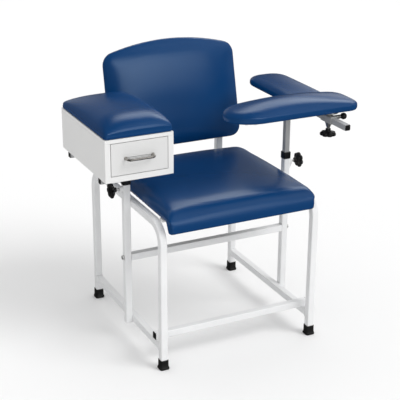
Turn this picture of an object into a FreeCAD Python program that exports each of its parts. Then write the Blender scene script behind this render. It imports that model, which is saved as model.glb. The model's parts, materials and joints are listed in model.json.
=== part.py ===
import FreeCAD, Part
import math
import os

# Blood-draw chair: tube side frames, upholstered seat and back, a drawer box
# with a cushion on one side and an adjustable two-pad arm on the other.
# Millimetres, +Z up, +Y to the rear. The layout numbers below are measured
# from the middle of the four feet; ORIGIN moves them so that the origin is on
# the floor under the middle of the whole chair.

V = FreeCAD.Vector

# ---------------------------------------------------------------- dimensions
ORIGIN = (-14.35, -62.25)        # layout point that becomes x = 0, y = 0

TUBE = 25.0                    # frame tube, square
WALL = 1.8
SLIDE_TUBE = 20.0              # sliding tubes, square
SLIDE_WALL = 1.5

FRAME_X = 305.0                # outer faces of the side frames
LEG_Y = 318.0                  # front and rear faces of the legs
RAIL_TOP = 541.0               # top of the side frames
BEND_OUT = 79.0                # outer bend radius
LOWER_RAIL_Z = 69.5            # underside of the lower side rails
CROSS_Y = (-271.0, -246.0)     # lower front crossbar
POST_Y = (-69.0, -44.0)        # arm posts
POST_TOP = 617.0
MID_BAR_Z = 312.5              # underside of the crossbar between the posts
FOOT_H = 36.0
FOOT_BASE = 36.0

COLLAR = (600.0, 625.0)        # post collars
COLLAR_W = 28.5
CLAMP_Z = 585.0                # axis of the post clamp screws
KNOB_D = 56.0
KNOB_HEAD = 15.0
KNOB_HUB = 10.0
STUD_R = 3.95
STUD_HOLE_R = 4.0

SEAT_X = 280.0                 # half width
SEAT_FRONT = -340.0
SEAT_REAR = 228.0
SEAT_BOTTOM = 543.0
SEAT_LIP = 507.0
SEAT_EDGE = 576.0
SEAT_TOP = 588.0

BACK_X = 268.0                 # half width
BACK_CX = 4.0                  # middle of the back and its uprights
BACK_TILT = 12.6               # degrees from upright
BACK_LOW = (186.0, 622.0)      # y, z of the lower front edge
BACK_H = 396.0                 # along the slope, middle
BACK_SIDE_H = 336.0            # along the slope, where the top corners start
BACK_T = 38.0
UPRIGHT_X = 192.0

BOX_X = (-452.0, -209.0)
BOX_Y = (-215.0, 195.0)
BOX_Z = (675.0, 822.0)
SIDE_T = 19.0
BASE_T = 20.0
LID_T = 13.0
REAR_T = 12.0
BOX_PAD_RIM = 838.0            # top of the box cushion's upright edge
BOX_PAD_TOP = 894.0
GAP = 2.0                      # around the drawer front
FRONT_T = 16.0
HANDLE_PITCH = 96.0
HANDLE_Z = 753.0

ARM_X = 317.5                  # middle of the posts and of the arm tube
ARM_TUBE_Z = 819.0             # underside of the arm tube
ARM_TUBE_Y = (-448.0, 110.0)
SLEEVE_Y = (-361.0, -298.0)
SLEEVE_AXIS_Y = -330.0
REAR_PAD = (251.0, 408.0, -190.0, 158.0)
REAR_PAD_Z = (839.0, 856.5, 875.0)      # underside, rim, top
FRONT_PAD = (-54.0, 423.3, -370.5, -207.8)
FRONT_PAD_Z = (855.0, 876.0, 914.0)

os.makedirs("parts", exist_ok=True)
out = []


def put(name, shape):
    """Write one sub-part, moved from the layout to the chair's origin."""
    s = shape.copy()
    s.translate(V(-ORIGIN[0], -ORIGIN[1], 0))
    if not s.isValid():
        raise RuntimeError("invalid shape: " + name)
    s.exportStep("parts/%s.step" % name)
    out.append((name, s))


def group(shapes):
    return shapes[0] if len(shapes) == 1 else Part.makeCompound(shapes)


def box(x0, x1, y0, y1, z0, z1):
    return Part.makeBox(x1 - x0, y1 - y0, z1 - z0, V(x0, y0, z0))


def cyl(r, a, b):
    a, b = V(*a), V(*b)
    d = b - a
    return Part.makeCylinder(r, d.Length, a, d)


def rect_wire(w, h, r):
    """Rounded rectangle about the origin in XY."""
    x, y = w / 2.0, h / 2.0
    r = min(r, x - 0.01, y - 0.01)
    k = r * (1 - math.sqrt(0.5))
    e = []
    pts = [(x - r, -y), (x - k, -y + k), (x, -y + r), (x, y - r), (x - k, y - k), (x - r, y),
           (-x + r, y), (-x + k, y - k), (-x, y - r), (-x, -y + r), (-x + k, -y + k), (-x + r, -y)]
    p = [V(a, b, 0) for a, b in pts]
    for i in (0, 3, 6, 9):
        e.append(Part.Arc(p[i], p[i + 1], p[i + 2]).toShape())
        n = (i + 3) % 12
        if (p[i + 2] - p[n]).Length > 1e-4:
            e.append(Part.LineSegment(p[i + 2], p[n]).toShape())
    return Part.Wire(e)


def rect_face(w, h, r, hole=None):
    f = Part.Face(rect_wire(w, h, r))
    if hole:
        f = f.cut(Part.Face(rect_wire(*hole))).Faces[0]
    return f


def place(shape, base, xdir, zdir):
    """Put a shape drawn at the origin on a base point with its X and Z turned."""
    x, z = V(*xdir).normalize(), V(*zdir).normalize()
    y = z.cross(x)
    m = FreeCAD.Matrix(x.x, y.x, z.x, base[0], x.y, y.y, z.y, base[1], x.z, y.z, z.z, base[2], 0, 0, 0, 1)
    return shape.transformed(m)


def sq_tube(a, b, size=TUBE, wall=WALL, r=3.0, across=(1, 0, 0)):
    """Straight square tube from a to b along one axis."""
    a, b = V(*a), V(*b)
    d = b - a
    f = rect_face(size, size, r, (size - 2 * wall, size - 2 * wall, max(r - wall, 0.4)))
    s = f.extrude(V(0, 0, d.Length))
    return place(s, (a.x, a.y, a.z), across, (d.x, d.y, d.z))


def plan_solid(x0, x1, y0, y1, z0, z1, r):
    """Upright block with rounded corners in plan."""
    f = rect_face(x1 - x0, y1 - y0, r)
    s = f.extrude(V(0, 0, z1 - z0))
    s.translate(V((x0 + x1) / 2.0, (y0 + y1) / 2.0, z0))
    return s


def side_hoop(xc):
    """One bent tube: front leg, bend, top rail, bend, rear leg."""
    rc = BEND_OUT - TUBE / 2.0
    yl = LEG_Y - TUBE / 2.0
    zt = RAIL_TOP - TUBE / 2.0
    foot_z = 6.0
    f = rect_face(TUBE, TUBE, 3.5, (TUBE - 2 * WALL, TUBE - 2 * WALL, 1.7))
    pieces = []
    leg = f.extrude(V(0, 0, zt - rc - foot_z))
    for sy in (-1, 1):
        s = leg.copy()
        s.translate(V(xc, sy * yl, foot_z))
        pieces.append(s)
        g = f.copy()
        g.translate(V(xc, sy * yl, zt - rc))
        pieces.append(g.revolve(V(xc, sy * (yl - rc), zt - rc), V(1, 0, 0), -sy * -90.0))
    rail = place(f.extrude(V(0, 0, 2 * (yl - rc))), (xc, -(yl - rc), zt), (1, 0, 0), (0, 1, 0))
    pieces.append(rail)
    s = pieces[0]
    for q in pieces[1:]:
        s = s.fuse(q)
    return s.removeSplitter()


def star(d, h, lobes=7):
    """Lobed knob head along +Z."""
    r = d / 2.0
    rl = r * 0.30
    s = Part.makeCylinder(r * 0.80, h)
    for i in range(lobes):
        a = 2 * math.pi * i / lobes
        s = s.fuse(Part.makeCylinder(rl, h, V((r - rl) * math.cos(a), (r - rl) * math.sin(a), 0)))
    return s.removeSplitter()


def star_knob(base, zdir, xdir=(0, 0, 1)):
    """Knob whose hub starts at base and whose head points along zdir."""
    k = Part.makeCylinder(9.0, KNOB_HUB + 0.5).fuse(star(KNOB_D, KNOB_HEAD).translated(V(0, 0, KNOB_HUB)))
    k = k.fuse(Part.makeCone(KNOB_D * 0.36, KNOB_D * 0.22, 4.0, V(0, 0, KNOB_HUB + KNOB_HEAD)))
    k = k.removeSplitter()
    k = k.cut(Part.makeCylinder(STUD_HOLE_R, 16.3))
    return place(k, base, xdir, zdir)


def hexagon(af, h):
    r = af / math.sqrt(3)
    p = [V(r * math.cos(math.radians(60 * i)), r * math.sin(math.radians(60 * i)), 0) for i in range(7)]
    return Part.Face(Part.makePolygon(p)).extrude(V(0, 0, h))


def screw(base, zdir, length, r=2.0, head_r=4.0, head_h=2.4, xdir=None):
    """Pan-head screw: head outside base, shank pointing along zdir."""
    s = Part.makeCylinder(r, length).fuse(Part.makeCylinder(head_r, head_h, V(0, 0, -head_h)))
    x = xdir or ((1, 0, 0) if abs(zdir[0]) < 0.5 else (0, 1, 0))
    return place(s, base, x, zdir)


# ------------------------------------------------------------- side frames
XL = -(FRAME_X - TUBE / 2.0)
XR = FRAME_X - TUBE / 2.0
PX = FRAME_X + TUBE / 2.0              # middle of a post
PY = sum(POST_Y) / 2.0
put("left_side_frame", side_hoop(XL))
put("right_side_frame", side_hoop(XR))
zr = LOWER_RAIL_Z + TUBE / 2.0
put("lower_side_rails", group([sq_tube((x, -LEG_Y + TUBE, zr), (x, LEG_Y - TUBE, zr)) for x in (XL, XR)]))

# rubber feet: square ferrules with a flared base
feet = []
for x in (XL, XR):
    for y in (-LEG_Y + TUBE / 2.0, LEG_Y - TUBE / 2.0):
        low = rect_wire(FOOT_BASE, FOOT_BASE, 9.0)
        mid = rect_wire(FOOT_BASE - 1.0, FOOT_BASE - 1.0, 8.5)
        mid.translate(V(0, 0, 6.0))
        neck = rect_wire(30.5, 30.5, 6.0)
        neck.translate(V(0, 0, 11.0))
        top = rect_wire(29.0, 29.0, 5.0)
        top.translate(V(0, 0, FOOT_H))
        s = Part.makeLoft([low, mid], True, True)
        s = s.fuse(Part.makeLoft([mid, neck], True, True)).fuse(Part.makeLoft([neck, top], True, True))
        s = s.removeSplitter()
        hole = rect_face(TUBE + 0.1, TUBE + 0.1, 3.5).extrude(V(0, 0, FOOT_H))
        hole.translate(V(0, 0, 6.0))
        s = s.cut(hole)
        s.translate(V(x, y, 0))
        feet.append(s)
put("rubber_feet", group(feet))

# lower front crossbar, lying on the lower rails
cz = LOWER_RAIL_Z + TUBE * 1.5
cy = sum(CROSS_Y) / 2.0
put("front_crossbar", sq_tube((-FRAME_X + 2, cy, cz), (FRAME_X - 2, cy, cz), across=(0, 1, 0)))


def end_plug(base, zdir, size, wall, head=2.0, depth=12.0, xdir=(0, 0, 1)):
    """Ribbed insert with a flat head for a square tube end."""
    s = rect_face(size - 1.6, size - 1.6, 2.6).extrude(V(0, 0, head))
    inner = size - 2 * wall - 0.1
    core = rect_face(inner, inner, 1.0, (inner - 3.0, inner - 3.0, 0.6)).extrude(V(0, 0, -depth))
    return place(s.fuse(core).removeSplitter(), base, xdir, zdir)


put("crossbar_plugs", group([end_plug((-FRAME_X + 2, cy, cz), (-1, 0, 0), TUBE, WALL),
                             end_plug((FRAME_X - 2, cy, cz), (1, 0, 0), TUBE, WALL)]))

# ------------------------------------------------------------------- posts
mz = MID_BAR_Z + TUBE / 2.0
put("middle_crossbar", sq_tube((-FRAME_X, PY, mz), (FRAME_X, PY, mz), across=(0, 1, 0)))
plates, bolts = [], []
for sx in (-1, 1):
    inner = TUBE - 2 * WALL - 0.1
    p = rect_face(inner, inner, 1.0).extrude(V(0, 0, 6.0)).cut(Part.makeCylinder(4.0, 6.0))
    plates.append(place(p, (sx * (FRAME_X - 3.0), PY, mz), (0, 1, 0), (-sx, 0, 0)))
    b = hexagon(13.0, 5.3).fuse(Part.makeCylinder(8.0, 1.6, V(0, 0, -1.6))).fuse(
        Part.makeCylinder(3.95, 41.0, V(0, 0, -41.0 - 1.6)))
    bolts.append(place(b.removeSplitter(), (sx * (FRAME_X + TUBE + 1.6), PY, mz), (0, 1, 0), (sx, 0, 0)))
put("post_bolts", group(bolts))
put("crossbar_nut_plates", group(plates))
clamp_nuts, collars = [], []

for side, sx in (("left", -1), ("right", 1)):
    x = sx * PX
    p = sq_tube((x, PY, LOWER_RAIL_Z), (x, PY, POST_TOP), r=4.0, wall=2.0)
    p = p.cut(cyl(4.2, (sx * (FRAME_X - 1), PY, mz), (sx * (FRAME_X + TUBE + 1), PY, mz)))
    p = p.cut(cyl(4.3, (sx * (FRAME_X + TUBE - 3), PY, CLAMP_Z), (sx * (FRAME_X + TUBE + 1), PY, CLAMP_Z)))
    put(side + "_post", p)
    # round nut welded over the clamp hole, with a web under it
    face = sx * (FRAME_X + TUBE)
    nut = cyl(8.0, (face, PY, CLAMP_Z), (face + sx * 12.0, PY, CLAMP_Z)).cut(
        cyl(STUD_HOLE_R, (face - sx, PY, CLAMP_Z), (face + sx * 13.0, PY, CLAMP_Z)))
    tri = Part.Face(Part.makePolygon([V(face, PY - 1.5, CLAMP_Z - 4), V(face + sx * 15.0, PY - 1.5, CLAMP_Z - 4),
                                      V(face + sx * 15.0, PY - 1.5, CLAMP_Z - 12), V(face, PY - 1.5, CLAMP_Z - 40),
                                      V(face, PY - 1.5, CLAMP_Z - 4)])).extrude(V(0, 3.0, 0))
    tri = tri.cut(cyl(7.0, (face - sx * 5, PY, CLAMP_Z), (face + sx * 20.0, PY, CLAMP_Z)))
    clamp_nuts.append(nut.fuse(tri).removeSplitter())
    c = plan_solid(x - COLLAR_W / 2, x + COLLAR_W / 2, PY - COLLAR_W / 2, PY + COLLAR_W / 2, COLLAR[0], COLLAR[1], 4.5)
    c = c.cut(plan_solid(x - 12.55, x + 12.55, PY - 12.55, PY + 12.55, COLLAR[0] - 1, POST_TOP, 3.9))
    c = c.cut(plan_solid(x - 10.3, x + 10.3, PY - 10.3, PY + 10.3, POST_TOP - 1, COLLAR[1] + 1, 2.3))
    collars.append(c)
    tip = sx * (PX + SLIDE_TUBE / 2.0 + 0.3)
    put(side + "_clamp_stud", cyl(STUD_R, (tip, PY, CLAMP_Z), (face + sx * 40.0, PY, CLAMP_Z)))
    put(side + "_star_knob", star_knob((face + sx * 24.0, PY, CLAMP_Z), (sx, 0, 0)))

put("post_clamp_nuts", group(clamp_nuts))
put("post_collars", group(collars))

# -------------------------------------------------------------------- seat
straps = []
bars = (("front_seat_strap", -285.0, -255.0), ("rear_seat_strap", 120.0, 150.0))
for name, y0, y1 in bars:
    s = box(-280, 280, y0, y1, 537, 543)
    for x in (-200.0, 200.0):
        s = s.cut(cyl(2.6, (x, (y0 + y1) / 2, 530), (x, (y0 + y1) / 2, 550)))
    straps.append(s)
put("seat_straps", group(straps))
board = plan_solid(-268, 268, -280, 216, SEAT_BOTTOM, SEAT_BOTTOM + 12, 60.0)
holes = [(x, (y0 + y1) / 2) for _, y0, y1 in bars for x in (-200.0, 200.0)]
for x, y in holes:
    board = board.cut(cyl(2.0, (x, y, SEAT_BOTTOM - 1), (x, y, SEAT_BOTTOM + 10)))
put("seat_board", board)
put("seat_screws", group([screw((x, y, 537.0), (0, 0, 1), 15.0) for x, y in holes]))

# cushion: side profile with a waterfall front, cut to the plan outline
pts = [V(0, SEAT_REAR, SEAT_BOTTOM), V(0, -298, SEAT_BOTTOM), V(0, -312, 524), V(0, -320, SEAT_LIP),
       V(0, -336, SEAT_LIP), V(0, SEAT_FRONT, 514), V(0, SEAT_FRONT, 538)]
e = [Part.LineSegment(pts[i], pts[i + 1]).toShape() for i in range(6)]
e.append(Part.Arc(V(0, SEAT_FRONT, 538), V(0, -327, 567), V(0, -292, 581)).toShape())
e.append(Part.Arc(V(0, -292, 581), V(0, -60, SEAT_TOP), V(0, SEAT_REAR - 20, 576)).toShape())
e.append(Part.Arc(V(0, SEAT_REAR - 20, 576), V(0, SEAT_REAR - 5, 570), V(0, SEAT_REAR, 556)).toShape())
e.append(Part.LineSegment(V(0, SEAT_REAR, 556), pts[0]).toShape())
cushion = Part.Face(Part.Wire(e)).extrude(V(2 * SEAT_X, 0, 0))
cushion.translate(V(-SEAT_X, 0, 0))
plan = plan_solid(-SEAT_X, SEAT_X, SEAT_FRONT - 100, SEAT_REAR, 480, 620, 85.0)
plan = plan.common(box(-400, 400, -200, 400, 400, 700)).fuse(
    plan_solid(-SEAT_X, SEAT_X, SEAT_FRONT, 0, 480, 620, 28.0)).removeSplitter()
cushion = cushion.common(plan)
# shoulders along both sides
sh = [V(-SEAT_X, -400, 480), V(-SEAT_X, -400, 553), V(-SEAT_X + 6, -400, 567), V(-SEAT_X + 22, -400, 576), V(0, -400, SEAT_TOP + 0.5)]
top_x = SEAT_X - 22
e = [Part.LineSegment(V(SEAT_X, -400, 480), sh[0]).toShape(), Part.LineSegment(sh[0], sh[1]).toShape(),
     Part.Arc(sh[1], sh[2], sh[3]).toShape(), Part.Arc(sh[3], sh[4], V(top_x, -400, 576)).toShape(),
     Part.Arc(V(top_x, -400, 576), V(SEAT_X - 6, -400, 567), V(SEAT_X, -400, 553)).toShape(),
     Part.LineSegment(V(SEAT_X, -400, 553), V(SEAT_X, -400, 480)).toShape()]
cushion = cushion.common(Part.Face(Part.Wire(e)).extrude(V(0, 700, 0)))
cushion = cushion.cut(plan_solid(-268, 268, -280, 216, SEAT_BOTTOM - 1, SEAT_BOTTOM + 12, 60.0))
put("seat_cushion", cushion)

# -------------------------------------------------------------------- back
# rear cross member between the side frames; the uprights stand on it
uy = 249.0
put("rear_crossmember", sq_tube((-280, uy, RAIL_TOP - 12.5), (280, uy, RAIL_TOP - 12.5), across=(0, 1, 0)))
t = math.radians(BACK_TILT)
slope = V(0, math.sin(t), math.cos(t))
normal = V(0, math.cos(t), -math.sin(t))          # out of the back's rear face
low = V(BACK_CX, BACK_LOW[0], BACK_LOW[1])


def on_back(x, s, n):
    """Point on the back: x across, s up the slope, n behind the front face."""
    p = low + slope * s + normal * n
    return (x, p.y, p.z)


bend_r = 90.0
uprights, caps = [], []
for side, sx in (("left", -1), ("right", 1)):
    x = BACK_CX + sx * UPRIGHT_X
    # the sloping run's centre line lies half a tube behind the cushion
    q = V(*on_back(BACK_CX, 0, BACK_T + 0.3 + TUBE / 2.0))
    # corner where the upright run at uy meets the sloping line
    k = (uy - q.y) / slope.y
    corner = q + slope * k
    tl = bend_r * math.tan(t / 2.0)
    f = rect_face(TUBE, TUBE, 3.0, (TUBE - 2 * WALL, TUBE - 2 * WALL, 1.2))
    f.translate(V(x, uy, RAIL_TOP))
    up = f.extrude(V(0, 0, corner.z - tl - RAIL_TOP))
    g = f.copy()
    g.translate(V(0, 0, corner.z - tl - RAIL_TOP))
    bend = g.revolve(V(x, uy + bend_r, corner.z - tl), V(1, 0, 0), -BACK_TILT)
    end = corner + slope * tl
    top_s = 300.0
    length = top_s - (k + tl)
    h = rect_face(TUBE, TUBE, 3.0, (TUBE - 2 * WALL, TUBE - 2 * WALL, 1.2)).extrude(V(0, 0, length))
    h = place(h, (x, end.y, end.z), (1, 0, 0), (slope.x, slope.y, slope.z))
    s = up.fuse(bend).fuse(h).removeSplitter()
    bolts_s = (90.0, 240.0)
    for bs in bolts_s:
        s = s.cut(cyl(3.3, on_back(x, bs, BACK_T - 5), on_back(x, bs, BACK_T + TUBE + 5)))
    uprights.append(s)
    cap = end_plug((0, 0, 0), (0, 0, 1), TUBE, WALL, xdir=(1, 0, 0))
    tp = end + slope * length
    caps.append(place(cap, (x, tp.y, tp.z), (1, 0, 0), (slope.x, slope.y, slope.z)))
put("back_uprights", group(uprights))
put("upright_caps", group(caps))


def back_outline(dx, ds):
    """Outline of the back in (x, s), drawn inside by dx, ds."""
    X, lo, hi, mid = BACK_X - dx, ds, BACK_SIDE_H - ds * 0.6, BACK_H - ds
    rb, rt = 42.0 - min(dx, 20), 50.0 - min(dx, 20)
    kb = rb * (1 - math.sqrt(0.5))

    def P(a, b):
        return V(a, 0, b)
    ee = [Part.LineSegment(P(-X + rb, lo), P(X - rb, lo)).toShape(),
          Part.Arc(P(X - rb, lo), P(X - kb, lo + kb), P(X, lo + rb)).toShape(),
          Part.LineSegment(P(X, lo + rb), P(X - 3, hi - 20)).toShape()]
    c = V(X - 3 - rt, 0, hi - 20)
    a0, a1 = 0.0, math.radians(68)
    m = (a0 + a1) / 2
    p1 = V(c.x + rt * math.cos(m), 0, c.z + rt * math.sin(m))
    p2 = V(c.x + rt * math.cos(a1), 0, c.z + rt * math.sin(a1))
    ee.append(Part.Arc(P(X - 3, hi - 20), p1, p2).toShape())
    ee.append(Part.Arc(p2, P(0, mid), V(-p2.x, 0, p2.z)).toShape())
    ee.append(Part.Arc(V(-p2.x, 0, p2.z), V(-p1.x, 0, p1.z), P(-X + 3, hi - 20)).toShape())
    ee.append(Part.LineSegment(P(-X + 3, hi - 20), P(-X, lo + rb)).toShape())
    ee.append(Part.Arc(P(-X, lo + rb), P(-X + kb, lo + kb), P(-X + rb, lo)).toShape())
    return Part.Face(Part.Wire(ee))


def lean(s):
    """Drawn upright at the origin, turned and moved onto the slope."""
    s = s.copy()
    s.rotate(V(0, 0, 0), V(1, 0, 0), -BACK_TILT)
    s.translate(low)
    return s


outer = back_outline(0, 0).extrude(V(0, BACK_T, 0))
try:
    front_edges = [ed for ed in outer.Edges if ed.BoundBox.YMax < 0.01]
    outer = outer.makeFillet(15.0, front_edges)
    rear_edges = [ed for ed in outer.Edges if ed.BoundBox.YMin > BACK_T - 0.01]
    outer = outer.makeFillet(9.0, rear_edges)
except Exception as err:
    print("back fillet skipped", err)
bb = back_outline(22, 22).extrude(V(0, 12.0, 0))
bb.translate(V(0, BACK_T - 12.0, 0))
back_cushion = lean(outer.cut(bb))
back_board = lean(bb)
back_bolts = []
for sx in (-1, 1):
    for bs in bolts_s:
        x = BACK_CX + sx * UPRIGHT_X
        back_board = back_board.cut(cyl(3.0, on_back(x, bs, BACK_T - 8), on_back(x, bs, BACK_T + 2)))
        hd = on_back(x, bs, BACK_T + 0.3 + TUBE)
        b = Part.makeCylinder(6.5, 3.6, V(0, 0, -3.6)).fuse(Part.makeCylinder(3.0, TUBE + 6.0))
        back_bolts.append(place(b, hd, (1, 0, 0), (-normal.x, -normal.y, -normal.z)))
put("back_cushion", back_cushion)
put("back_board", back_board)
put("back_bolts", group(back_bolts))

# ------------------------------------------------------- left arm: drawer box
S2 = SLIDE_TUBE / 2.0
put("left_inner_tube", sq_tube((-PX, PY, 368.0), (-PX, PY, BOX_Z[0] - SLIDE_TUBE), SLIDE_TUBE, SLIDE_WALL, 2.0))
bmid = (BOX_Y[0] + BOX_Y[1]) / 2.0
cross_y = (-154.0, 136.0)
car_z = BOX_Z[0] - S2
put("box_carrier_tube", sq_tube((-PX, cross_y[0] + S2, car_z), (-PX, cross_y[1] - S2, car_z), SLIDE_TUBE, SLIDE_WALL, 2.0))
bars_x, plugs = [], []
for y in cross_y:
    bars_x.append(sq_tube((BOX_X[0] + 3.0, y, car_z), (BOX_X[1] - 20.0, y, car_z), SLIDE_TUBE, SLIDE_WALL, 2.0, (0, 1, 0)))
    plugs.append(end_plug((BOX_X[0] + 3.0, y, car_z), (-1, 0, 0), SLIDE_TUBE, SLIDE_WALL, 1.5))
    plugs.append(end_plug((BOX_X[1] - 20.0, y, car_z), (1, 0, 0), SLIDE_TUBE, SLIDE_WALL, 1.5))
for i, b in enumerate(bars_x):
    for x in (-420.0, -250.0):
        b = b.cut(cyl(2.6, (x, cross_y[i], car_z - 15), (x, cross_y[i], car_z + 15)))
    bars_x[i] = b
put("box_cross_tubes", group(bars_x))
put("cross_tube_plugs", group(plugs))
bx0, bx1 = BOX_X
by0, by1 = BOX_Y
bz0, bz1 = BOX_Z
ix0, ix1 = bx0 + SIDE_T, bx1 - SIDE_T
iz0, iz1 = bz0 + BASE_T, bz1 - LID_T
put("box_side_panels", group([box(bx0, ix0, by0, by1, bz0, iz1), box(ix1, bx1, by0, by1, bz0, iz1)]))
base = box(ix0, ix1, by0, by1, bz0, iz0)
sc = []
for y in cross_y:
    for x in (-420.0, -250.0):
        base = base.cut(cyl(2.0, (x, y, bz0 - 1), (x, y, bz0 + 14)))
        sc.append(screw((x, y, bz0 - SLIDE_TUBE), (0, 0, 1), 33.0))
put("box_base_panel", base)
put("box_screws", group(sc))
put("box_top_panel", box(bx0, bx1, by0, by1, iz1, bz1))
put("box_rear_panel", box(ix0, ix1, by1 - REAR_T, by1, iz0, iz1))

# pads


def crowned(s, plan, rim, top, low_r=0.0):
    """Pillow top on a padded block: what lies under an arch across it and one along it."""
    x0, x1, y0, y1 = plan
    if low_r > 0:
        z = s.BoundBox.ZMin
        edges = [ed for ed in s.Edges if abs(ed.BoundBox.ZMin - z) < 0.01 and abs(ed.BoundBox.ZMax - z) < 0.01]
        s = s.makeFillet(low_r, edges)
    for a0, a1, c0, c1, along_y in ((x0, x1, y0, y1, True), (y0, y1, x0, x1, False)):
        h, mid, rise = (a1 - a0) / 2.0, (a0 + a1) / 2.0, top - rim
        R = (h * h + rise * rise) / (2 * rise)
        w = h + 12.0
        ze = top - R + math.sqrt(R * R - w * w)

        def P(a, z):
            return V(a, c0 - 20, z) if along_y else V(c0 - 20, a, z)
        ee = [Part.LineSegment(P(mid + w, ze), P(mid + w, ze - 90)).toShape(), Part.LineSegment(P(mid + w, ze - 90), P(mid - w, ze - 90)).toShape(),
              Part.LineSegment(P(mid - w, ze - 90), P(mid - w, ze)).toShape(),
              Part.Arc(P(mid - w, ze), P(mid, top), P(mid + w, ze)).toShape()]
        span = c1 - c0 + 40
        s = s.common(Part.Face(Part.Wire(ee)).extrude(V(0, span, 0) if along_y else V(span, 0, 0)))
    return s


# cushion on the box: upright edge flush with the box, high crown, over a board
bp = plan_solid(bx0, bx1, by0, by1, bz1, BOX_PAD_TOP + 5, 12.0)
bp = crowned(bp, (bx0, bx1, by0, by1), BOX_PAD_RIM, BOX_PAD_TOP)
pb = plan_solid(bx0 + 6, bx1 - 6, by0 + 6, by1 - 6, bz1, bz1 + 9, 8.0)
put("box_cushion_board", pb)
put("box_cushion", bp.cut(pb))

# runners: a channel on each side panel, a rail on each side of the drawer
rz = 742.0
chan, rail = [], []
for sx, face in ((1, ix0), (-1, ix1)):
    ch = box(0, 11.0, 0, 340.0, -20, 20).cut(box(1.5, 12.0, -1, 341.0, -18, 18)).fuse(
        box(8.0, 11.0, 0, 340.0, -20, -13)).fuse(box(8.0, 11.0, 0, 340.0, 13, 20)).removeSplitter()
    rl = box(3.0, 7.0, 0, 330.0, -16, 16).fuse(box(6.5, 12.7, 0, 330.0, -10, 10)).removeSplitter()
    for s, lst in ((ch, chan), (rl, rail)):
        m = s.copy()
        if sx < 0:
            m = m.mirror(V(0, 0, 0), V(1, 0, 0))
        m.translate(V(face, by0 + FRONT_T + 4, rz))
        lst.append(m)
put("runner_channels", group(chan))

# drawer
tx0, tx1 = ix0 + 12.7, ix1 - 12.7
ty0, ty1 = by0 + FRONT_T, by1 - REAR_T - 20
tz0, tz1 = iz0 + 8, iz1 - 22
tray = box(tx0, tx1, ty0, ty1, tz0, tz1).cut(box(tx0 + 12, tx1 - 12, ty0 + 12, ty1 - 12, tz0 + 6, tz1 + 1))
for x in (-332 - HANDLE_PITCH / 2, -332 + HANDLE_PITCH / 2):
    tray = tray.cut(cyl(2.3, (x, ty0 - 1, HANDLE_Z), (x, ty0 + 13, HANDLE_Z)))
put("drawer_tray", tray)
put("runner_rails", group(rail))
df = box(ix0 + GAP, ix1 - GAP, by0, by0 + FRONT_T, iz0 + GAP, iz1 - GAP)
for x in (-332 - HANDLE_PITCH / 2, -332 + HANDLE_PITCH / 2):
    df = df.cut(cyl(2.3, (x, by0 - 1, HANDLE_Z), (x, by0 + FRONT_T + 1, HANDLE_Z)))
put("drawer_front", df)
# bow handle: a bar bent out and back, made of straight runs and bends
hx0, hx1 = -332 - HANDLE_PITCH / 2, -332 + HANDLE_PITCH / 2
hr, hb, hd = 4.2, 12.0, 24.0
yf, yb = by0, by0 - hd
path = Part.Wire([Part.LineSegment(V(hx0, yf, HANDLE_Z), V(hx0, yb + hb, HANDLE_Z)).toShape(),
                  Part.Arc(V(hx0, yb + hb, HANDLE_Z), V(hx0 + hb * (1 - math.sqrt(0.5)), yb + hb * (1 - math.sqrt(0.5)), HANDLE_Z),
                           V(hx0 + hb, yb, HANDLE_Z)).toShape(),
                  Part.LineSegment(V(hx0 + hb, yb, HANDLE_Z), V(hx1 - hb, yb, HANDLE_Z)).toShape(),
                  Part.Arc(V(hx1 - hb, yb, HANDLE_Z), V(hx1 - hb * (1 - math.sqrt(0.5)), yb + hb * (1 - math.sqrt(0.5)), HANDLE_Z),
                           V(hx1, yb + hb, HANDLE_Z)).toShape(),
                  Part.LineSegment(V(hx1, yb + hb, HANDLE_Z), V(hx1, yf, HANDLE_Z)).toShape()])
prof = Part.Wire(Part.makeCircle(hr, V(hx0, yf, HANDLE_Z), V(0, -1, 0)))
handle = path.makePipeShell([prof], True, True)
for x in (hx0, hx1):
    handle = handle.fuse(Part.makeCone(6.6, hr + 0.2, 5.0, V(x, yf, HANDLE_Z), V(0, -1, 0)))
handle = handle.removeSplitter()
for x in (hx0, hx1):
    handle = handle.cut(cyl(2.0, (x, yf + 1, HANDLE_Z), (x, yf - 8, HANDLE_Z)))
put("drawer_handle", handle)
put("handle_screws", group([screw((x, by0 + FRONT_T + 12, HANDLE_Z), (0, -1, 0), FRONT_T + 12 + 7, 2.0, 4.0, 2.4) for x in (hx0, hx1)]))

# ------------------------------------------------------------ right arm
put("right_inner_tube", sq_tube((PX, PY, 482.0), (PX, PY, ARM_TUBE_Z), SLIDE_TUBE, SLIDE_WALL, 2.0))
az = ARM_TUBE_Z + S2
arm = sq_tube((ARM_X, ARM_TUBE_Y[0] + 2, az), (ARM_X, ARM_TUBE_Y[1] - 2, az), SLIDE_TUBE, SLIDE_WALL, 2.0)
rpx0, rpx1, rpy0, rpy1 = REAR_PAD
pad_screw_y = (-110.0, 80.0)
for y in pad_screw_y:
    arm = arm.cut(cyl(2.4, (ARM_X, y, az - 15), (ARM_X, y, az + 15)))
put("arm_tube", arm)
put("arm_tube_plugs", group([end_plug((ARM_X, ARM_TUBE_Y[0] + 2, az), (0, -1, 0), SLIDE_TUBE, SLIDE_WALL),
                             end_plug((ARM_X, ARM_TUBE_Y[1] - 2, az), (0, 1, 0), SLIDE_TUBE, SLIDE_WALL)]))
rb = plan_solid(rpx0 + 14, rpx1 - 14, rpy0 + 14, rpy1 - 14, REAR_PAD_Z[0], REAR_PAD_Z[0] + 9, 48.0)
rp = crowned(plan_solid(rpx0, rpx1, rpy0, rpy1, REAR_PAD_Z[0], REAR_PAD_Z[2] + 5, 61.0), REAR_PAD, REAR_PAD_Z[1], REAR_PAD_Z[2], 7.0)
for y in pad_screw_y:
    rb = rb.cut(cyl(1.9, (ARM_X, y, REAR_PAD_Z[0] - 1), (ARM_X, y, REAR_PAD_Z[0] + 8)))
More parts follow.
